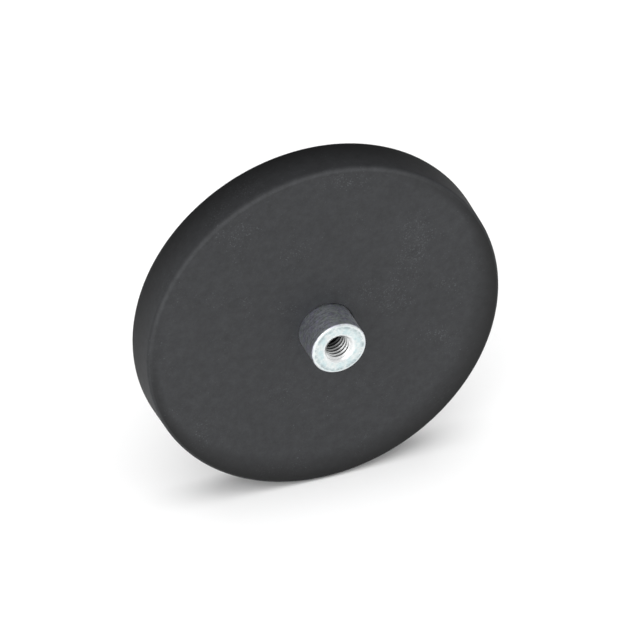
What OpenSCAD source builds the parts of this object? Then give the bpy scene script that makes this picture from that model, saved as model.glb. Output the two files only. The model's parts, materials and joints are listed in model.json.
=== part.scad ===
// Rubber-jacketed disc magnet with a threaded bush, stood on its rim.
// The bush axis runs along Y: the gripping face lies on Y = 0 and looks towards +Y,
// and the bush stands out of the opposite face towards -Y. X is across and Z is up.
// Every piece is drawn lying flat, gripping face down, and one turn stands them all up.

/* [Rubber jacket] */
// Diameter over the rubber
jacket_d = 66; // [64:0.5:72]
// Thickness of the rubber body
jacket_h = 8.5; // [8.4:0.1:10]
// Rubber left between the magnets and the gripping face
skin = 0.8; // [0.5:0.1:0.9]
// Rounding where the rim meets the gripping face
grip_edge_r = 1.8; // [1:0.1:2.2]
// Rounding where the rim meets the bush side
bush_edge_r = 0.65; // [0.25:0.05:1]
// How much smaller the rim's radius is at the bush side than at the gripping side
rim_draft = 0.3; // [0:0.1:0.6]
// Width of the shut-off ring that the mould leaves round the bush
recess_w = 0.1; // [0.1:0.05:0.8]
// Depth of the shut-off ring
recess_h = 0.6; // [0.3:0.1:0.6]

/* [Yoke plate] */
// Diameter of the steel plate that joins the magnets' backs
plate_d = 60; // [60:0.5:61]
// Thickness of the steel plate
plate_h = 2.5; // [2:0.1:2.6]
// Depth of the stamped pits that hold the magnets in place
pit_h = 0.5; // [0.3:0.1:0.8]

/* [Magnets] */
// Diameter of each magnet
magnet_d = 10; // [8:0.5:11]
// Thickness of each magnet
magnet_h = 3; // [2.8:0.1:3.1]
// Number of magnets in the outer ring
outer_n = 12; // [8:2:12]
// Diameter of the circle through the outer magnets' centres
outer_pcd = 47; // [46.5:0.5:48]
// Number of magnets in the inner ring
inner_n = 6; // [4:2:6]
// Diameter of the circle through the inner magnets' centres
inner_pcd = 23; // [22.5:0.5:24]

/* [Threaded bush] */
// Diameter of the bush's barrel
bush_d = 10; // [9:0.5:12]
// Height of the bush above the rubber
bush_rise = 6.5; // [4:0.5:12]
// Rounding round the bush's free end
end_r = 0.45; // [0.2:0.05:0.8]
// Diameter of the tapped hole's wall at the thread crests
bore_d = 4.2; // [3.2:0.1:4.4]
// Diameter of the countersink at the mouth of the hole
mouth_d = 5.6; // [4.8:0.1:6.4]
// Steel left between the hole's drill point and the spigot's end
bore_floor = 1; // [0.6:0.1:2]
// Diameter of the spigot that passes through the plate
spigot_d = 7; // [6:0.5:7]
// Diameter of the spigot's riveted-over head
rivet_d = 8.6; // [8:0.1:9]
// Depth of the riveted-over head
rivet_h = 0.8; // [0.5:0.1:1]
// Depth of the groove that keys the bush into the rubber
key_groove = 0.5; // [0.3:0.1:0.8]
// Width of the groove
key_groove_h = 0.8; // [0.4:0.1:0.8]

/* [Hidden] */
jacket_r = jacket_d / 2;
plate_r = plate_d / 2;
magnet_r = magnet_d / 2;
bush_r = bush_d / 2;
bore_r = bore_d / 2;
mouth_r = mouth_d / 2;
spigot_r = spigot_d / 2;
rivet_r = rivet_d / 2;
plate_z = skin + magnet_h - pit_h;    // the plate's gripping side
plate_top = plate_z + plate_h;        // the plate's bush side, where the barrel's shoulder rests
key_z = (plate_top + jacket_h - recess_h - key_groove_h) / 2; // midway up the buried barrel
bush_top = jacket_h + bush_rise;
mouth_h = mouth_r - bore_r;           // a 90 degree countersink
point_h = bore_r / tan(59);           // a 118 degree drill point
bore_z = plate_z + bore_floor + point_h; // where the full bore ends and the drill point starts
overrun = 1;                          // how far a cutter passes its opening
$fn = 96;

function ring_angle(i, n) = 360 / n * i;

OUTER = [for (i = [1 : outer_n]) str("magnet_outer_", i < 10 ? "0" : "", i)];
INNER = [for (i = [1 : inner_n]) str("magnet_inner_", i < 10 ? "0" : "", i)];

// Turns a piece drawn with its axis along +Z so that the axis runs along -Y.
module stand_up() {
    rotate([90, 0, 0]) children();
}

// One quarter of a disc of radius r in the corner at [x, y], opening towards +X and up or down.
module quarter_round(x, y, r, up) {
    translate([x, y]) intersection() {
        circle(r);
        translate([0, up ? 0 : -r]) square(r);
    }
}

// Half of the jacket's outline, from the axis out to the rim.
module jacket_outline() {
    front_r = jacket_r - rim_draft;
    polygon([
        [0, 0],
        [jacket_r - grip_edge_r, 0],
        [jacket_r - grip_edge_r, grip_edge_r],
        [jacket_r, grip_edge_r],
        [front_r, jacket_h - bush_edge_r],
        [front_r - bush_edge_r, jacket_h - bush_edge_r],
        [front_r - bush_edge_r, jacket_h],
        [0, jacket_h]
    ]);
    quarter_round(jacket_r - grip_edge_r, grip_edge_r, grip_edge_r, false);
    quarter_round(front_r - bush_edge_r, jacket_h - bush_edge_r, bush_edge_r, true);
}

// The bush's outside, from the rivet head through the spigot to the rounded end.
module bush_outline() {
    polygon([
        [0, plate_z],
        [rivet_r, plate_z],
        [spigot_r, plate_z + rivet_h],
        [spigot_r, plate_top],
        [bush_r, plate_top],
        [bush_r, key_z],
        [bush_r - key_groove, key_z],
        [bush_r - key_groove, key_z + key_groove_h],
        [bush_r, key_z + key_groove_h],
        [bush_r, bush_top - end_r],
        [bush_r - end_r, bush_top - end_r],
        [bush_r - end_r, bush_top],
        [0, bush_top]
    ]);
    quarter_round(bush_r - end_r, bush_top - end_r, end_r, true);
}

// The blind tapped hole: drill point, bore wall and countersunk mouth.
module bore_outline() {
    polygon([
        [0, bore_z - point_h],
        [bore_r, bore_z],
        [bore_r, bush_top - mouth_h],
        [mouth_r, bush_top],
        [mouth_r, bush_top + overrun],
        [0, bush_top + overrun]
    ]);
}

module bush_solid() {
    rotate_extrude() bush_outline();
}

// One magnet of the ring, at place i of n.
module magnet_solid(i, n, pcd) {
    rotate([0, 0, ring_angle(i, n)]) translate([pcd / 2, 0, skin]) cylinder(r = magnet_r, h = magnet_h);
}

module all_magnets() {
    for (i = [0 : outer_n - 1]) magnet_solid(i, outer_n, outer_pcd);
    for (i = [0 : inner_n - 1]) magnet_solid(i, inner_n, inner_pcd);
}

// One-piece rubber overmoulding round the plate, the magnets and the bush.
module rubber_jacket() {
    color([0.07, 0.07, 0.07]) stand_up() difference() {
        rotate_extrude() jacket_outline();
        translate([0, 0, plate_z]) cylinder(r = plate_r, h = plate_h);
        all_magnets();
        bush_solid();
        translate([0, 0, jacket_h - recess_h]) cylinder(r = bush_r + recess_w, h = recess_h + overrun);
    }
}

// Steel plate with a pit for each magnet and a countersunk hole for the bush's spigot.
module yoke_plate() {
    color([0.62, 0.63, 0.65]) stand_up() difference() {
        translate([0, 0, plate_z]) cylinder(r = plate_r, h = plate_h);
        all_magnets();
        bush_solid();
    }
}

// Steel bush, shouldered on the plate and riveted through it, with a blind tapped hole.
module threaded_bush() {
    color([0.72, 0.74, 0.75]) stand_up() difference() {
        bush_solid();
        rotate_extrude() bore_outline();
    }
}

// One nickel-plated magnet. Neighbours in a ring are turned opposite poles down.
module ring_magnet(i, n, pcd) {
    color([0.78, 0.77, 0.74]) stand_up() magnet_solid(i, n, pcd);
}

rubber_jacket();
yoke_plate();
threaded_bush();
for (i = [0 : outer_n - 1]) {
    ring_magnet(i, outer_n, outer_pcd);
}
for (i = [0 : inner_n - 1]) {
    ring_magnet(i, inner_n, inner_pcd);
}
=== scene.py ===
# A rubber-jacketed disc magnet with a threaded bush, standing on its rim on a pale studio floor.
import json
import math
import bmesh
import bpy
from mathutils import Matrix, Vector


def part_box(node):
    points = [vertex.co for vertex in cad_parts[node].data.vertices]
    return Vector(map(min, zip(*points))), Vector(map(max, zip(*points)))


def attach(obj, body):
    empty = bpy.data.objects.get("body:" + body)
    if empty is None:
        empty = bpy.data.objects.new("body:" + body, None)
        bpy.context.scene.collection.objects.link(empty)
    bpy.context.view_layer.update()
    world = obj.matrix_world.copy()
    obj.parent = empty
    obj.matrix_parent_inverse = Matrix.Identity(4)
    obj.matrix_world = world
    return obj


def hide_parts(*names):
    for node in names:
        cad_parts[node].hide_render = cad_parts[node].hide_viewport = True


mm = 0.001
weld = 0.001 * mm    # corners nearer than this are one corner
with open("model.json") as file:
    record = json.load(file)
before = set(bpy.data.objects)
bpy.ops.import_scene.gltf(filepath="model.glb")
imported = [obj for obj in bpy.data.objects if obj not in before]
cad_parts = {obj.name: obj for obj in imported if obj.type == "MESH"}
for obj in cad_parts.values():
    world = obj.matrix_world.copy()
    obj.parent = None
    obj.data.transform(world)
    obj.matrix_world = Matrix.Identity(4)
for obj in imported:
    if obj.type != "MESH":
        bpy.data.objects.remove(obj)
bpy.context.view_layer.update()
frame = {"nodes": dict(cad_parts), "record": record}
scene = bpy.context.scene
print("frame loaded:", len(frame["nodes"]), "CAD nodes")

# Places taken from the frame. Depth is measured from the gripping face towards the bush, so it is -y.
jacketLow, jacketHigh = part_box("rubber_jacket")
bushLow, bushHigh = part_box("threaded_bush")
plateLow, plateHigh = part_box("yoke_plate")
magnetNames = sorted(name for name in frame["nodes"] if name.startswith("magnet_"))
thread = next(mount for mount in frame["record"]["mounts"] if mount["name"] == "thread")
jacketRadius = jacketHigh.x
jacketDepth = -jacketLow.y
plateRadius = plateHigh.x
plateNear, plateFar = -plateHigh.y, -plateLow.y
bushRadius = bushHigh.x
bushEnd = -bushLow.y
boreRadius = thread["dims"]["r_mm"] * mm
boreTop = -thread["pos_m"][1]
boreBottom = boreTop - thread["dims"]["length_mm"] * mm
floorHeight = jacketLow.z


# Mesh helpers

def drawOutline(bm, outline):
    # outline is a list of (radius, depth), drawn in the XY plane
    verts = [bm.verts.new((radius, -depth, 0)) for radius, depth in outline]
    return verts + [bm.edges.new(pair) for pair in zip(verts, verts[1:])]


def spinOutline(bm, outline, steps):
    # turns the outline once round the Y axis
    bmesh.ops.spin(bm, geom=drawOutline(bm, outline), cent=(0, 0, 0), axis=(0, 1, 0), angle=math.tau,
                   steps=steps, use_merge=True)
    bmesh.ops.remove_doubles(bm, verts=bm.verts, dist=weld)
    bmesh.ops.recalc_face_normals(bm, faces=bm.faces)


def ringEdges(bm, radius, depth):
    # the circle of edges at that radius and depth
    near = 4 * weld

    def onRing(vert):
        reach = math.hypot(vert.co.x, vert.co.z)
        return abs(reach - radius) < near and abs(vert.co.y + depth) < near

    return [edge for edge in bm.edges if onRing(edge.verts[0]) and onRing(edge.verts[1])]


def roundRing(bm, radius, depth, size, segments):
    bmesh.ops.bevel(bm, geom=ringEdges(bm, radius, depth), offset=size, segments=segments,
                    profile=0.5, affect="EDGES", material=-1, clamp_overlap=False)


def smoothRounds(mesh):
    # smooth shading that stops at every edge sharper than 25 degrees
    mesh.shade_smooth()
    mesh.set_sharp_from_angle(angle=math.radians(25))


def makePiece(name, bm):
    mesh = bpy.data.meshes.new(name)
    bm.to_mesh(mesh)
    bm.free()
    smoothRounds(mesh)
    piece = bpy.data.objects.new(name, mesh)
    scene.collection.objects.link(piece)
    return piece


def carve(piece, cutters):
    # cuts each cutter out of the piece and keeps the result as the piece's own mesh
    for cutter in cutters:
        cut = piece.modifiers.new("cut", "BOOLEAN")
        cut.operation = "DIFFERENCE"
        cut.solver = "EXACT"
        cut.object = cutter
    bpy.context.view_layer.update()
    carved = bpy.data.meshes.new_from_object(piece.evaluated_get(bpy.context.evaluated_depsgraph_get()))
    piece.modifiers.clear()
    piece.data = carved
    bm = bmesh.new()    # joins the corners that the cuts leave a hair apart
    bm.from_mesh(carved)
    bmesh.ops.remove_doubles(bm, verts=bm.verts, dist=weld)
    bm.to_mesh(carved)
    bm.free()
    smoothRounds(carved)
    for cutter in cutters:
        bpy.data.objects.remove(cutter)


# Material helpers

def linearColour(hexCode):
    parts = [int(hexCode[place:place + 2], 16) / 255 for place in (1, 3, 5)]
    return [part / 12.92 if part <= 0.04045 else ((part + 0.055) / 1.055) ** 2.4 for part in parts] + [1]


def addNode(tree, kind, settings, links):
    # settings are the node's own properties or its sockets' values; links are socket: source
    node = tree.nodes.new(kind)
    for name, value in settings.items():
        if isinstance(name, str) and hasattr(node, name):
            setattr(node, name, value)
        else:
            node.inputs[name].default_value = value
    for name, source in links.items():
        tree.links.new(source, node.inputs[name])
    return node


def newMaterial(name):
    material = bpy.data.materials.new(name)
    material.use_nodes = True
    material.node_tree.nodes.clear()
    return material, material.node_tree


def finishMaterial(tree, shader):
    addNode(tree, "ShaderNodeOutputMaterial", {}, {"Surface": shader.outputs["BSDF"]})


# Camera: a long lens, to the left of the bush's axis and above it
camera = {
    "azimuth": -20.98,      # degrees round Z from straight in front of the bush
    "elevation": 35.41,
    "distance": 726 * mm,   # from the bush side of the disc
    "lens": 235.4,          # mm, on a 36 mm sensor
    "across": 1.008 * mm,   # how far the disc's centre stands right of the line of sight
    "below": 1.471 * mm,    # and below it
}


def makeCamera():
    azimuth, elevation = math.radians(camera["azimuth"]), math.radians(camera["elevation"])
    right = Vector((math.cos(azimuth), math.sin(azimuth), 0))
    back = Vector((math.sin(azimuth) * math.cos(elevation), -math.cos(azimuth) * math.cos(elevation),
                   math.sin(elevation)))
    up = back.cross(right)
    aim = Vector((0, -jacketDepth, 0)) - right * camera["across"] + up * camera["below"]
    data = bpy.data.cameras.new("studio_camera")
    data.lens = camera["lens"]
    data.sensor_width = 36
    data.clip_start = 0.05
    data.clip_end = 20
    item = bpy.data.objects.new("studio_camera", data)
    scene.collection.objects.link(item)
    place = Matrix((right, up, back)).transposed().to_4x4()
    place.translation = aim + back * camera["distance"]
    item.matrix_world = place
    scene.camera = item


makeCamera()
print("camera placed")

# Studio: a pale floor inside a white light tent that is shaded at the back
studio = {
    "floorSize": 6.0,
    "floorColour": "#f2f2f2",
    "keyPower": 5.2,                 # W, the softbox to the left of the camera
    "keySize": 0.9,
    "keyPlace": (-0.58, -0.72, 0.5),
    "topPower": 3.6,                 # W, the softbox over the disc that lights only the floor
    "topSize": 0.8,
    "topPlace": (0.0, -0.03, 0.6),
    "tentBright": 0.85,
    "tentShade": 0.16,
    "shadeAim": (0.16, 0.95, 0.3),   # the middle of the shaded part, behind and a little above
    "shadeEdge": (0.2, 0.62),        # cosines of the angles where it starts and is full
    "backdrop": 1.0,                 # how bright the tent looks to the camera
    "farFloor": (0.25, 0.9),         # how far out the floor starts to glow for the camera, and is full
}


def addSoftbox(name, power, size, place):
    data = bpy.data.lights.new(name, "AREA")
    data.energy = power
    data.size = size
    softbox = bpy.data.objects.new(name, data)
    softbox.location = place
    softbox.rotation_euler = (-Vector(place)).to_track_quat("-Z", "Y").to_euler()
    scene.collection.objects.link(softbox)
    return softbox


def makeFloor():
    bm = bmesh.new()
    bmesh.ops.create_grid(bm, x_segments=1, y_segments=1, size=studio["floorSize"] / 2)
    bmesh.ops.translate(bm, verts=bm.verts, vec=(0, 0, floorHeight))
    floor = makePiece("studio_floor", bm)
    material, tree = newMaterial("matt white board")
    where = addNode(tree, "ShaderNodeTexCoord", {}, {})
    away = addNode(tree, "ShaderNodeVectorMath", {"operation": "LENGTH"}, {0: where.outputs["Object"]})
    start, full = studio["farFloor"]
    far = addNode(tree, "ShaderNodeMapRange",
                  {"interpolation_type": "SMOOTHSTEP", "From Min": start, "From Max": full},
                  {"Value": away.outputs["Value"]})
    rays = addNode(tree, "ShaderNodeLightPath", {}, {})
    seen = addNode(tree, "ShaderNodeMath", {"operation": "MULTIPLY"},
                   {0: far.outputs["Result"], 1: rays.outputs["Is Camera Ray"]})
    board = addNode(tree, "ShaderNodeBsdfPrincipled",
                    {"Base Color": linearColour(studio["floorColour"]), "Roughness": 0.9,
                     "Specular IOR Level": 0.2, "Emission Color": (1, 1, 1, 1)},
                    {"Emission Strength": seen.outputs["Value"]})
    finishMaterial(tree, board)
    floor.data.materials.append(material)
    return floor


def makeTent():
    # the lamps' light comes from a tent shaded above and behind; the camera sees it plain white
    world = bpy.data.worlds.new("light tent")
    scene.world = world
    world.use_nodes = True
    tree = world.node_tree
    tree.nodes.clear()
    where = addNode(tree, "ShaderNodeTexCoord", {}, {})
    aim = Vector(studio["shadeAim"]).normalized()
    facing = addNode(tree, "ShaderNodeVectorMath", {"operation": "DOT_PRODUCT", 1: aim},
                     {0: where.outputs["Generated"]})
    shade = addNode(tree, "ShaderNodeMapRange",
                    {"interpolation_type": "SMOOTHSTEP", "From Min": studio["shadeEdge"][0],
                     "From Max": studio["shadeEdge"][1], "To Min": studio["tentBright"],
                     "To Max": studio["tentShade"]},
                    {"Value": facing.outputs["Value"]})
    rays = addNode(tree, "ShaderNodeLightPath", {}, {})
    seen = addNode(tree, "ShaderNodeMix", {"data_type": "FLOAT", 3: studio["backdrop"]},
                   {0: rays.outputs["Is Camera Ray"], 2: shade.outputs["Result"]})
    tent = addNode(tree, "ShaderNodeBackground", {"Color": (1, 1, 1, 1)},
                   {"Strength": seen.outputs[0]})
    addNode(tree, "ShaderNodeOutputWorld", {}, {"Surface": tent.outputs["Background"]})


def makeStudio():
    floor = makeFloor()
    addSoftbox("key_softbox", studio["keyPower"], studio["keySize"], studio["keyPlace"])
    top = addSoftbox("floor_softbox", studio["topPower"], studio["topSize"], studio["topPlace"])
    lit = bpy.data.collections.new("lit_by_the_floor_softbox")
    lit.objects.link(floor)
    top.light_linking.receiver_collection = lit
    makeTent()
    scene.view_settings.view_transform = "Standard"


makeStudio()
print("studio lit")

# Rubber jacket
jacket = {
    "steps": 256,              # facets round the disc
    "gripEdge": 1.8 * mm,      # rounding where the rim meets the gripping face
    "bushEdge": 0.65 * mm,     # and where it meets the bush side
    "edgeFacets": (8, 6),      # facets across those two roundings
    "draft": 0.3 * mm,         # how much smaller the rim is at the bush side
    "recessWidth": 0.05 * mm,  # the mould's shut-off ring round the bush
    "recessDepth": 0.6 * mm,
    "recessShift": (0.19 * mm, 0.12 * mm),  # how far the ring sits off centre, across and up
    "keyDepth": 0.5 * mm,      # the rib that locks into the bush's groove
    "keyWidth": 0.8 * mm,
    "paintedShadeColour": "#0a0a0b",   # painted shade: the near-black the rubber is darkened to near the rim
    "bloomColour": "#2f3032",  # the rubber's pale bloom, where no painted shade darkens it
    "edgeHighlightColour": "#393a3c",    # painted highlight just inside the bush-side edge
    "dustAndSheenColour": "#585a5d",
    "faceShadeAim": (0.45, 0, -0.893),  # painted shade darkens the face's edge most on this side
    "faceShadeSide": (-0.85, 0.05), # cosines of the angles from there where the painted shade starts and is full
    "faceShadeWidth": (2.6 * mm, 6.4 * mm),  # how far in from the rim, at its narrowest and widest
    "widening": (-0.1, 0.6),   # cosines of the angles between which it widens
    "faceShadeFull": 0.8 * mm,      # how far in from the rim the face's painted shade is full
    "rimBand": (0.9 * mm, 0.4 * mm),    # how far in the rim's own roughness and painted shade start and are full
    "rimShift": 0.5 * mm,      # the rim's painted shade is full this far short of the gripping face
    "rimShade": 0.9,            # how dark the rim's painted shade gets at most
    "highlightInner": (1.02 * mm, 0.62 * mm), # how far in the painted highlight starts and is full
    "highlightOuter": (0.12 * mm, 0.37 * mm), # and where it ends and is full
    "faceRoughness": 0.55,
    "rimRoughness": 0.7,
    "specular": 0.28,
    "cloud": 1.6 * mm,         # patches in the bloom
    "cloudShade": (0.78, 1.22),
    "grain": 0.28 * mm,        # the spark-eroded mould's texture
    "grainDepth": 0.02 * mm,
    "dustDrift": 9 * mm,       # size of the areas where fine dust has settled in the grain
    "sheenPlace": (19 * mm, 0, 16 * mm),  # and the middle of a painted sheen, a patch lightened and given more dust
    "sheenReach": 13 * mm,
    "sheenDepth": 0.18,         # how strong the painted sheen is there, added to the dust
    "sheenLift": 0.5,           # how much the painted sheen lightens the rubber between its grains
    "dustGrains": (0.74, 0.54),  # how high a grain stands to be dusty, in clean and dusty areas
}
keyMiddle = (plateFar + jacketDepth - jacket["recessDepth"]) / 2
# The rim tapers between its two roundings, so the corners that are rounded lie on that line.
rimTaper = jacket["draft"] / (jacketDepth - jacket["gripEdge"] - jacket["bushEdge"])
gripCorner = jacketRadius + rimTaper * jacket["gripEdge"]
bushCorner = jacketRadius - jacket["draft"] - rimTaper * jacket["bushEdge"]


def jacketOutline():
    # up the rim, across the bush side, down the hole that the bush fills, and round the plate's space
    keyNear, keyFar = keyMiddle - jacket["keyWidth"] / 2, keyMiddle + jacket["keyWidth"] / 2
    rib = bushRadius - jacket["keyDepth"]
    return [
        (0, 0), (gripCorner, 0), (bushCorner, jacketDepth), (bushRadius, jacketDepth),
        (bushRadius, keyFar), (rib, keyFar), (rib, keyNear), (bushRadius, keyNear),
        (bushRadius, plateFar), (plateRadius, plateFar), (plateRadius, plateNear), (0, plateNear),
    ]


def discCutter(name, middle, radius, depth):
    bm = bmesh.new()
    bmesh.ops.create_cone(bm, cap_ends=True, segments=96, radius1=radius, radius2=radius, depth=depth)
    bmesh.ops.rotate(bm, verts=bm.verts, matrix=Matrix.Rotation(math.radians(90), 3, "X"))
    bmesh.ops.translate(bm, verts=bm.verts, vec=middle)
    return makePiece(name, bm)


def jacketCutters():
    # a pocket for each magnet, and the shut-off ring
    cutters = []
    for name in magnetNames:
        low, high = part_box(name)
        cutters.append(discCutter("pocket_" + name, (low + high) / 2, (high.x - low.x) / 2, high.y - low.y))
    across, up = jacket["recessShift"]
    cutters.append(discCutter("shut_off_ring", (across, -jacketDepth, up),
                              bushRadius + jacket["recessWidth"], 2 * jacket["recessDepth"]))
    return cutters


def makeJacket():
    bm = bmesh.new()
    gripFacets, bushFacets = jacket["edgeFacets"]
    spinOutline(bm, jacketOutline(), jacket["steps"])
    roundRing(bm, gripCorner, 0, jacket["gripEdge"], gripFacets)
    roundRing(bm, bushCorner, jacketDepth, jacket["bushEdge"], bushFacets)
    piece = makePiece("jacket", bm)
    carve(piece, jacketCutters())
    piece.data.materials.clear()
    piece.data.materials.append(mouldedRubber())
    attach(piece, "root")
    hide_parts("rubber_jacket")


def mouldedRubber():
    # Thermoplastic rubber from a spark-eroded mould: matt and near black, with a fine grain and a pale
    # bloom.
    # Painted shade darkens the rim towards the gripping face and one side of the face's edge; a painted
    # highlight runs just inside the bush-side edge, and a painted sheen lightens one patch of the face.
    material, tree = newMaterial("moulded black rubber")
    where = addNode(tree, "ShaderNodeTexCoord", {}, {})
    parts = addNode(tree, "ShaderNodeSeparateXYZ", {}, {0: where.outputs["Object"]})
    flat = addNode(tree, "ShaderNodeCombineXYZ", {}, {0: parts.outputs["X"], 2: parts.outputs["Z"]})
    reach = addNode(tree, "ShaderNodeVectorMath", {"operation": "LENGTH"}, {0: flat.outputs["Vector"]})
    outward = addNode(tree, "ShaderNodeVectorMath", {"operation": "NORMALIZE"}, {0: flat.outputs["Vector"]})
    facing = addNode(tree, "ShaderNodeVectorMath",
                     {"operation": "DOT_PRODUCT", 1: Vector(jacket["faceShadeAim"]).normalized()},
                     {0: outward.outputs["Vector"]})
    # painted shade: the face darkens towards its edge, most on one side
    faceShadeSide = addNode(tree, "ShaderNodeMapRange",
                       {"interpolation_type": "SMOOTHSTEP", "From Min": jacket["faceShadeSide"][0],
                        "From Max": jacket["faceShadeSide"][1]},
                       {"Value": facing.outputs["Value"]})
    narrow, wide = jacket["faceShadeWidth"]
    innerEdge = addNode(tree, "ShaderNodeMapRange",
                        {"From Min": jacket["widening"][0], "From Max": jacket["widening"][1],
                         "To Min": jacketRadius - narrow, "To Max": jacketRadius - wide},
                        {"Value": facing.outputs["Value"]})
    nearRim = addNode(tree, "ShaderNodeMapRange", {"From Max": jacketRadius - jacket["faceShadeFull"]},
                      {"Value": reach.outputs["Value"], "From Min": innerEdge.outputs["Result"]})
    faceShade = addNode(tree, "ShaderNodeMath", {"operation": "MULTIPLY"},
                       {0: faceShadeSide.outputs["Result"], 1: nearRim.outputs["Result"]})
    # painted shade: the rim darkens towards the gripping face
    rimShade = addNode(tree, "ShaderNodeMapRange",
                      {"interpolation_type": "SMOOTHSTEP", "From Min": -jacketDepth - jacket["rimShift"],
                       "From Max": -jacket["rimShift"], "To Max": jacket["rimShade"]},
                      {"Value": parts.outputs["Y"]})
    onRim = addNode(tree, "ShaderNodeMapRange",
                    {"From Min": jacketRadius - jacket["rimBand"][0],
                     "From Max": jacketRadius - jacket["rimBand"][1]},
                    {"Value": reach.outputs["Value"]})
    paintedShade = addNode(tree, "ShaderNodeMix", {"data_type": "FLOAT"},
                   {0: onRim.outputs["Result"], 2: faceShade.outputs["Value"],
                    3: rimShade.outputs["Result"]})
    # painted highlight: a lighter band just inside the bush-side edge
    highlightIn = addNode(tree, "ShaderNodeMapRange",
                    {"From Min": bushCorner - jacket["highlightInner"][0],
                     "From Max": bushCorner - jacket["highlightInner"][1]},
                    {"Value": reach.outputs["Value"]})
    highlightOut = addNode(tree, "ShaderNodeMapRange",
                     {"From Min": bushCorner - jacket["highlightOuter"][0],
                      "From Max": bushCorner - jacket["highlightOuter"][1]},
                     {"Value": reach.outputs["Value"]})
    edgeHighlight = addNode(tree, "ShaderNodeMath", {"operation": "MULTIPLY"},
                  {0: highlightIn.outputs["Result"], 1: highlightOut.outputs["Result"]})
    bloomAndHighlight = addNode(tree, "ShaderNodeMix",
                    {"data_type": "RGBA", 6: linearColour(jacket["bloomColour"]),
                     7: linearColour(jacket["edgeHighlightColour"])}, {0: edgeHighlight.outputs["Value"]})
    bloomShadeAndHighlight = addNode(tree, "ShaderNodeMix", {"data_type": "RGBA", 7: linearColour(jacket["paintedShadeColour"])},
                   {0: paintedShade.outputs[0], 6: bloomAndHighlight.outputs[2]})
    cloud = addNode(tree, "ShaderNodeTexNoise",
                    {"Scale": 1 / jacket["cloud"], "Detail": 5, "Roughness": 0.8},
                    {"Vector": where.outputs["Object"]})
    mottle = addNode(tree, "ShaderNodeMapRange",
                     {"From Min": 0.3, "From Max": 0.7, "To Min": jacket["cloudShade"][0],
                      "To Max": jacket["cloudShade"][1]},
                     {"Value": cloud.outputs["Fac"]})
    grain = addNode(tree, "ShaderNodeTexNoise",
                    {"Scale": 1 / jacket["grain"], "Detail": 3, "Roughness": 0.6},
                    {"Vector": where.outputs["Object"]})
    drift = addNode(tree, "ShaderNodeTexNoise",
                    {"Scale": 1 / jacket["dustDrift"], "Detail": 2, "Roughness": 0.5},
                    {"Vector": where.outputs["Object"]})
    # painted sheen: one patch of the face is lightened and given more dust grains
    away = addNode(tree, "ShaderNodeVectorMath", {"operation": "DISTANCE", 1: jacket["sheenPlace"]},
                   {0: flat.outputs["Vector"]})
    sheenPatch = addNode(tree, "ShaderNodeMapRange",
                      {"interpolation_type": "SMOOTHSTEP", "From Max": jacket["sheenReach"],
                       "To Min": jacket["sheenDepth"], "To Max": 0}, {"Value": away.outputs["Value"]})
    lifted = addNode(tree, "ShaderNodeMath", {"operation": "MULTIPLY_ADD", 1: jacket["sheenLift"]},
                     {0: sheenPatch.outputs["Result"], 2: mottle.outputs["Result"]})
    mottled = addNode(tree, "ShaderNodeVectorMath", {"operation": "SCALE"},
                      {0: bloomShadeAndHighlight.outputs[2], "Scale": lifted.outputs["Value"]})
    depth = addNode(tree, "ShaderNodeMath", {"operation": "ADD"},
                    {0: drift.outputs["Fac"], 1: sheenPatch.outputs["Result"]})
    dustAndSheenLevel = addNode(tree, "ShaderNodeMapRange",
                    {"From Min": 0.4, "From Max": 0.7, "To Min": jacket["dustGrains"][0],
                     "To Max": jacket["dustGrains"][1]},
                    {"Value": depth.outputs["Value"]})
    grains = addNode(tree, "ShaderNodeMapRange", {"From Max": 0.85},
                     {"Value": grain.outputs["Fac"], "From Min": dustAndSheenLevel.outputs["Result"]})
    # no dust is added where the painted shade darkens the rubber
    unshaded = addNode(tree, "ShaderNodeMath", {"operation": "SUBTRACT", 0: 1}, {1: paintedShade.outputs[0]})
    dustAndSheen = addNode(tree, "ShaderNodeMath", {"operation": "MULTIPLY"},
                   {0: grains.outputs["Result"], 1: unshaded.outputs["Value"]})
    tint = addNode(tree, "ShaderNodeMix",
                   {"data_type": "RGBA", 7: linearColour(jacket["dustAndSheenColour"])},
                   {0: dustAndSheen.outputs["Value"], 6: mottled.outputs["Vector"]})
    matt = addNode(tree, "ShaderNodeMapRange",
                   {"To Min": jacket["faceRoughness"], "To Max": jacket["rimRoughness"]},
                   {"Value": onRim.outputs["Result"]})
    bump = addNode(tree, "ShaderNodeBump", {"Strength": 0.6, "Distance": jacket["grainDepth"]},
                   {"Height": grain.outputs["Fac"]})
    shader = addNode(tree, "ShaderNodeBsdfPrincipled",
                     {"IOR": 1.5, "Specular IOR Level": jacket["specular"]},
                     {"Base Color": tint.outputs[2], "Roughness": matt.outputs["Result"],
                      "Normal": bump.outputs["Normal"]})
    finishMaterial(tree, shader)
    return material


makeJacket()
print("rubber jacket made")


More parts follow.
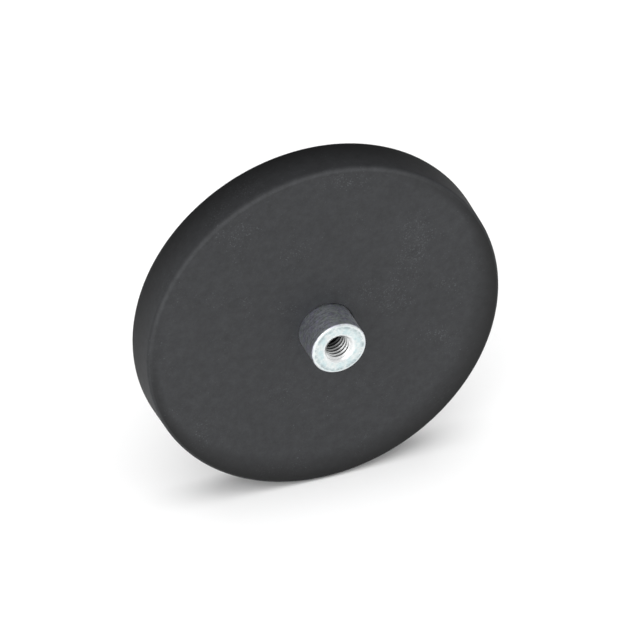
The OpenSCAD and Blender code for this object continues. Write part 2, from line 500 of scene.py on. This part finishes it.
# Threaded bush
bush = {
    "steps": 128,
    "endRounding": 0.45 * mm,
    "roundFacets": 6,
    "mouth": 2.8 * mm,         # radius of the countersink's rim
    "mouthRounding": 0.3 * mm,
    "spigot": 3.5 * mm,
    "rivet": 4.3 * mm,
    "rivetDepth": 0.8 * mm,
    "drillPoint": 118,         # degrees, across the drill's tip
    "pitch": 0.8 * mm,         # M5 thread
    "majorRadius": 2.5 * mm,
    "threadSteps": 96,         # facets in one turn of it
    "warmColour": "#dde2e1",   # the plating on the end, which is rubbed bright
    "coolColour": "#c4d6d8",
    "ringShadeColour": "#a4adb0",   # painted shade in a ring just inside its edge
    "highlightColour": "#eef0f0", # painted highlight on the edge itself and the countersink
    "blueColour": "#d9d9ea",   # the passivated plating on the barrel
    "greyColour": "#dfe6e5",
    "shadedSideAim": (-0.8, 0, 0.1), # painted shade: the barrel is darker on this side
    "shadedSide": (0.3, 0.9),    # cosines of the angles from there where it starts and is full
    "sideLightAndShade": (1.14, 0.82), # painted light and shade: how light the barrel is opposite that side, and on it
    "boreColour": "#242526",   # deep in the hole: the thinner plating there, and painted shade
    "boreFade": (1.0 * mm, 4.2 * mm),   # how deep the thread starts to darken, and is darkest
    "boreLeast": 0.1,          # how far it is darkened at its mouth
    "barrelBand": (0.2 * mm, 0.04 * mm),  # how far in from the barrel each finish starts and is full
    "ringInner": (1.15 * mm, 0.6 * mm),
    "ringOuter": (0.42 * mm, 0.6 * mm),
    "rimBand": (0.5 * mm, 0.3 * mm),
    "rimHighlight": 0.6,             # how strong the painted highlight on the edge is
    "funnelBand": (0.3 * mm, -0.05 * mm),  # the same, but out from the countersink's rim
    "threadBand": 0.15 * mm,   # how far out from the thread its darkening starts
    "endRoughness": 0.36,
    "barrelRoughness": 0.42,
    "feed": 0.34 * mm,         # spacing of the turning rings, drawn coarser than real so that they show
    "streak": 1.1 * mm,        # length of a streak along them
    "cloud": 0.9 * mm,         # size of the plating's uneven patches
    "scuff": 0.42 * mm,        # size of its small marks
    "markDepth": 0.03 * mm,
    "markShade": (0.25, 1.1),  # how strongly the marks show on the end, and on the barrel
    "markRelief": (0.12, 0.6),
    "lightness": 0.97,
}


def bushOutline():
    # from the rivet head up through the spigot and the barrel, and down into the tapped hole
    keyNear, keyFar = keyMiddle - jacket["keyWidth"] / 2, keyMiddle + jacket["keyWidth"] / 2
    groove = bushRadius - jacket["keyDepth"]
    point = boreBottom - boreRadius / math.tan(math.radians(bush["drillPoint"] / 2))
    return [
        (0, plateNear), (bush["rivet"], plateNear), (bush["spigot"], plateNear + bush["rivetDepth"]),
        (bush["spigot"], plateFar), (bushRadius, plateFar), (bushRadius, keyNear), (groove, keyNear),
        (groove, keyFar), (bushRadius, keyFar), (bushRadius, bushEnd), (bush["mouth"], bushEnd),
        (boreRadius, boreTop), (boreRadius, boreBottom), (0, point),
    ]


def makeTap():
    # the tap that cuts the thread: one pitch of its outline is screwed round the axis
    pitch, major, steps = bush["pitch"], bush["majorRadius"], bush["threadSteps"]
    flank = pitch / 2 - pitch / 16        # the flat at the tap's crest is an eighth of the pitch
    inner = major - flank / math.tan(math.radians(30))
    bm = bmesh.new()
    tooth = drawOutline(bm, [(inner, 0), (major, flank), (major, pitch - flank), (inner, pitch)])
    turns = math.ceil((bushEnd - boreBottom) / pitch) + 2
    bmesh.ops.spin(bm, geom=tooth, cent=(0, 0, 0), axis=(0, 1, 0), angle=math.tau * turns,
                   steps=steps * turns, dvec=(0, -pitch / steps, 0), use_merge=False)
    bmesh.ops.remove_doubles(bm, verts=bm.verts, dist=weld)
    bmesh.ops.translate(bm, verts=bm.verts, vec=(0, -(boreBottom - pitch / 2), 0))
    for depth, away in ((boreBottom + pitch, 1), (bushEnd + pitch / 4, -1)):
        bmesh.ops.bisect_plane(bm, geom=bm.verts[:] + bm.edges[:] + bm.faces[:], dist=weld / 10,
                               plane_co=(0, -depth, 0), plane_no=(0, away, 0), clear_outer=True)
    openEdges = [edge for edge in bm.edges if edge.is_boundary]
    bmesh.ops.holes_fill(bm, edges=openEdges)
    bmesh.ops.recalc_face_normals(bm, faces=bm.faces)
    return makePiece("tap", bm)


def makeBush():
    bm = bmesh.new()
    spinOutline(bm, bushOutline(), bush["steps"])
    roundRing(bm, bushRadius, bushEnd, bush["endRounding"], bush["roundFacets"])
    roundRing(bm, bush["mouth"], bushEnd, bush["mouthRounding"], bush["roundFacets"] // 2)
    piece = makePiece("bush", bm)
    carve(piece, [makeTap()])
    piece.data.materials.clear()
    piece.data.materials.append(turnedZincSteel())
    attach(piece, "root")
    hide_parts("threaded_bush")


def turnedZincSteel():
    # Free-cutting steel, turned and then zinc plated and blue passivated. The barrel is dull blue-grey,
    # mottled and streaked round by the turning tool, with painted shade on one side and painted light on
    # the other.
    # The end is rubbed bright, with a painted highlight on its edge and countersink and a ring of painted
    # shade inside the edge. The plating barely reaches into the tapped hole, and painted shade is added
    # there, so the thread is darker the deeper it goes.
    material, tree = newMaterial("turned zinc-plated steel")
    where = addNode(tree, "ShaderNodeTexCoord", {}, {})
    parts = addNode(tree, "ShaderNodeSeparateXYZ", {}, {0: where.outputs["Object"]})
    flat = addNode(tree, "ShaderNodeCombineXYZ", {}, {0: parts.outputs["X"], 2: parts.outputs["Z"]})
    reach = addNode(tree, "ShaderNodeVectorMath", {"operation": "LENGTH"}, {0: flat.outputs["Vector"]})
    outward = addNode(tree, "ShaderNodeVectorMath", {"operation": "NORMALIZE"}, {0: flat.outputs["Vector"]})

    # Streaks: noise whose coordinates run slowly round the bush and quickly along the tool's path.
    path = addNode(tree, "ShaderNodeMath", {"operation": "SUBTRACT"},
                   {0: reach.outputs["Value"], 1: parts.outputs["Y"]})
    turns = addNode(tree, "ShaderNodeMath", {"operation": "MULTIPLY", 1: 1 / bush["feed"]},
                    {0: path.outputs["Value"]})
    along = addNode(tree, "ShaderNodeCombineXYZ", {}, {1: turns.outputs["Value"]})
    swept = addNode(tree, "ShaderNodeVectorMath",
                    {"operation": "MULTIPLY_ADD", 1: (bushRadius / bush["streak"],) * 3},
                    {0: outward.outputs["Vector"], 2: along.outputs["Vector"]})
    streaks = addNode(tree, "ShaderNodeTexNoise", {"Scale": 1, "Detail": 2, "Roughness": 0.6},
                      {"Vector": swept.outputs["Vector"]})
    cloud = addNode(tree, "ShaderNodeTexNoise",
                    {"Scale": 1 / bush["cloud"], "Detail": 4, "Roughness": 0.65},
                    {"Vector": where.outputs["Object"]})
    scuff = addNode(tree, "ShaderNodeTexNoise",
                    {"Scale": 1 / bush["scuff"], "Detail": 3, "Roughness": 0.7},
                    {"Vector": where.outputs["Object"]})
    patches = addNode(tree, "ShaderNodeMapRange", {"From Min": 0.38, "From Max": 0.62},
                      {"Value": cloud.outputs["Fac"]})

    # Where the barrel, the ring of painted shade and the hole are.
    barrel = addNode(tree, "ShaderNodeMapRange",
                     {"From Min": bushRadius - bush["barrelBand"][0],
                      "From Max": bushRadius - bush["barrelBand"][1]},
                     {"Value": reach.outputs["Value"]})
    ringIn = addNode(tree, "ShaderNodeMapRange",
                     {"From Min": bushRadius - bush["ringInner"][0],
                      "From Max": bushRadius - bush["ringInner"][1]},
                     {"Value": reach.outputs["Value"]})
    ringOut = addNode(tree, "ShaderNodeMapRange",
                      {"From Min": bushRadius - bush["ringOuter"][0],
                       "From Max": bushRadius - bush["ringOuter"][1]},
                      {"Value": reach.outputs["Value"]})
    ring = addNode(tree, "ShaderNodeMath", {"operation": "MULTIPLY"},
                   {0: ringIn.outputs["Result"], 1: ringOut.outputs["Result"]})
    # painted shade: the ring just inside the end's edge, uneven in patches
    shadedRing = addNode(tree, "ShaderNodeMath", {"operation": "MULTIPLY"},
                       {0: ring.outputs["Value"], 1: patches.outputs["Result"]})
    inBore = addNode(tree, "ShaderNodeMapRange",
                     {"From Min": bush["majorRadius"] + bush["threadBand"],
                      "From Max": bush["majorRadius"]},
                     {"Value": reach.outputs["Value"]})
    # the thread darkens with depth: the plating is thinner there, and painted shade darkens it further
    deep = addNode(tree, "ShaderNodeMapRange",
                   {"From Min": -boreTop + bush["boreFade"][0],
                    "From Max": -boreTop + bush["boreFade"][1], "To Min": bush["boreLeast"]},
                   {"Value": parts.outputs["Y"]})
    bareAndShaded = addNode(tree, "ShaderNodeMath", {"operation": "MULTIPLY"},
                   {0: inBore.outputs["Result"], 1: deep.outputs["Result"]})

    # Colours of each, then the streaks and scuffs over all of them.
    bright = addNode(tree, "ShaderNodeMix",
                     {"data_type": "RGBA", 6: linearColour(bush["warmColour"]),
                      7: linearColour(bush["coolColour"])}, {0: patches.outputs["Result"]})
    ringShaded = addNode(tree, "ShaderNodeMix", {"data_type": "RGBA", 7: linearColour(bush["ringShadeColour"])},
                     {0: shadedRing.outputs["Value"], 6: bright.outputs[2]})
    # painted highlight on the end's edge and round the countersink
    rim = addNode(tree, "ShaderNodeMapRange",
                  {"From Min": bushRadius - bush["rimBand"][0],
                   "From Max": bushRadius - bush["rimBand"][1], "To Max": bush["rimHighlight"]},
                  {"Value": reach.outputs["Value"]})
    funnel = addNode(tree, "ShaderNodeMapRange",
                     {"From Min": bush["mouth"] + bush["funnelBand"][0],
                      "From Max": bush["mouth"] + bush["funnelBand"][1]},
                     {"Value": reach.outputs["Value"]})
    highlighted = addNode(tree, "ShaderNodeMath", {"operation": "MAXIMUM"},
                     {0: rim.outputs["Result"], 1: funnel.outputs["Result"]})
    end = addNode(tree, "ShaderNodeMix", {"data_type": "RGBA", 7: linearColour(bush["highlightColour"])},
                  {0: highlighted.outputs["Value"], 6: ringShaded.outputs[2]})
    passivated = addNode(tree, "ShaderNodeMix",
                         {"data_type": "RGBA", 6: linearColour(bush["greyColour"]),
                          7: linearColour(bush["blueColour"])}, {0: patches.outputs["Result"]})
    # painted light and shade: the barrel is darker on one side and lighter opposite
    shadedSide = addNode(tree, "ShaderNodeVectorMath",
                       {"operation": "DOT_PRODUCT", 1: Vector(bush["shadedSideAim"]).normalized()},
                       {0: outward.outputs["Vector"]})
    barrelSideShading = addNode(tree, "ShaderNodeMapRange",
                        {"From Min": bush["shadedSide"][0], "From Max": bush["shadedSide"][1],
                         "To Min": bush["sideLightAndShade"][0], "To Max": bush["sideLightAndShade"][1]},
                        {"Value": shadedSide.outputs["Value"]})
    shadedPlating = addNode(tree, "ShaderNodeVectorMath", {"operation": "SCALE"},
                      {0: passivated.outputs[2], "Scale": barrelSideShading.outputs["Result"]})
    outside = addNode(tree, "ShaderNodeMix", {"data_type": "RGBA"},
                      {0: barrel.outputs["Result"], 6: end.outputs[2], 7: shadedPlating.outputs["Vector"]})
    plated = addNode(tree, "ShaderNodeMix", {"data_type": "RGBA", 7: linearColour(bush["boreColour"])},
                     {0: bareAndShaded.outputs["Value"], 6: outside.outputs[2]})
    marks = addNode(tree, "ShaderNodeMath", {"operation": "ADD"},
                    {0: streaks.outputs["Fac"], 1: scuff.outputs["Fac"]})
    contrast = addNode(tree, "ShaderNodeMapRange",
                       {"To Min": bush["markShade"][0], "To Max": bush["markShade"][1]},
                       {"Value": barrel.outputs["Result"]})
    centred = addNode(tree, "ShaderNodeMath", {"operation": "SUBTRACT", 1: 1.0},
                      {0: marks.outputs["Value"]})
    shade = addNode(tree, "ShaderNodeMath", {"operation": "MULTIPLY_ADD", 2: bush["lightness"]},
                    {0: centred.outputs["Value"], 1: contrast.outputs["Result"]})
    tint = addNode(tree, "ShaderNodeVectorMath", {"operation": "SCALE"},
                   {0: plated.outputs[2], "Scale": shade.outputs["Value"]})
    satin = addNode(tree, "ShaderNodeMapRange",
                    {"To Min": bush["endRoughness"], "To Max": bush["barrelRoughness"]},
                    {"Value": barrel.outputs["Result"]})
    relief = addNode(tree, "ShaderNodeMapRange",
                     {"To Min": bush["markRelief"][0], "To Max": bush["markRelief"][1]},
                     {"Value": barrel.outputs["Result"]})
    bump = addNode(tree, "ShaderNodeBump", {"Distance": bush["markDepth"]},
                   {"Height": marks.outputs["Value"], "Strength": relief.outputs["Result"]})
    shader = addNode(tree, "ShaderNodeBsdfPrincipled", {"Metallic": 1},
                     {"Base Color": tint.outputs["Vector"], "Roughness": satin.outputs["Result"],
                      "Normal": bump.outputs["Normal"]})
    finishMaterial(tree, shader)
    return material


makeBush()
print("threaded bush made")

# Yoke plate and magnets: their CAD shapes stay, with materials of their own
core = {
    "plateColour": "#b4b7bb",
    "plateDullColour": "#989da2",
    "plateRoughness": 0.45,
    "plateSpread": 0.06,       # how much the crystals' roughness varies
    "spangle": 1.4 * mm,       # size of the zinc's crystals
    "spangleDepth": 0.01 * mm,
    "nickelColour": "#cfcabf",
    "nickelRoughness": (0.19, 0.32),
    "tumbling": 0.5 * mm,      # spacing of the dents that barrel plating leaves
    "dentDepth": 0.02 * mm,
}


def stampedZincPlate():
    # Mild steel sheet, stamped and zinc plated: a pale grey metal whose zinc has settled in faint
    # angular crystals, each a little lighter or darker than its neighbours.
    material, tree = newMaterial("stamped zinc-plated steel")
    where = addNode(tree, "ShaderNodeTexCoord", {}, {})
    crystals = addNode(tree, "ShaderNodeTexVoronoi", {"Scale": 1 / core["spangle"]},
                       {"Vector": where.outputs["Object"]})
    grey = addNode(tree, "ShaderNodeSeparateColor", {}, {0: crystals.outputs["Color"]})
    tint = addNode(tree, "ShaderNodeMix",
                   {"data_type": "RGBA", 6: linearColour(core["plateColour"]),
                    7: linearColour(core["plateDullColour"])}, {0: grey.outputs[0]})
    satin = addNode(tree, "ShaderNodeMapRange",
                    {"To Min": core["plateRoughness"] - core["plateSpread"],
                     "To Max": core["plateRoughness"] + core["plateSpread"]},
                    {"Value": grey.outputs[1]})
    bump = addNode(tree, "ShaderNodeBump", {"Strength": 0.3, "Distance": core["spangleDepth"]},
                   {"Height": crystals.outputs["Distance"]})
    shader = addNode(tree, "ShaderNodeBsdfPrincipled", {"Metallic": 1},
                     {"Base Color": tint.outputs[2], "Roughness": satin.outputs["Result"],
                      "Normal": bump.outputs["Normal"]})
    finishMaterial(tree, shader)
    return material


def barrelNickel():
    # Sintered neodymium, barrel plated with nickel: a warm bright metal, softly dented all over where
    # the discs tumbled against each other.
    material, tree = newMaterial("barrel-plated nickel")
    where = addNode(tree, "ShaderNodeTexCoord", {}, {})
    dents = addNode(tree, "ShaderNodeTexNoise",
                    {"Scale": 1 / core["tumbling"], "Detail": 3, "Roughness": 0.55},
                    {"Vector": where.outputs["Object"]})
    satin = addNode(tree, "ShaderNodeMapRange",
                    {"From Min": 0.3, "From Max": 0.7, "To Min": core["nickelRoughness"][0],
                     "To Max": core["nickelRoughness"][1]}, {"Value": dents.outputs["Fac"]})
    bump = addNode(tree, "ShaderNodeBump", {"Strength": 0.35, "Distance": core["dentDepth"]},
                   {"Height": dents.outputs["Fac"]})
    shader = addNode(tree, "ShaderNodeBsdfPrincipled",
                     {"Metallic": 1, "Base Color": linearColour(core["nickelColour"])},
                     {"Roughness": satin.outputs["Result"], "Normal": bump.outputs["Normal"]})
    finishMaterial(tree, shader)
    return material


def finishCore():
    plate, nickel = stampedZincPlate(), barrelNickel()
    for name in ["yoke_plate"] + magnetNames:
        for slot in frame["nodes"][name].material_slots:
            slot.material = plate if name == "yoke_plate" else nickel


finishCore()
print("plate and", len(magnetNames), "magnets finished")
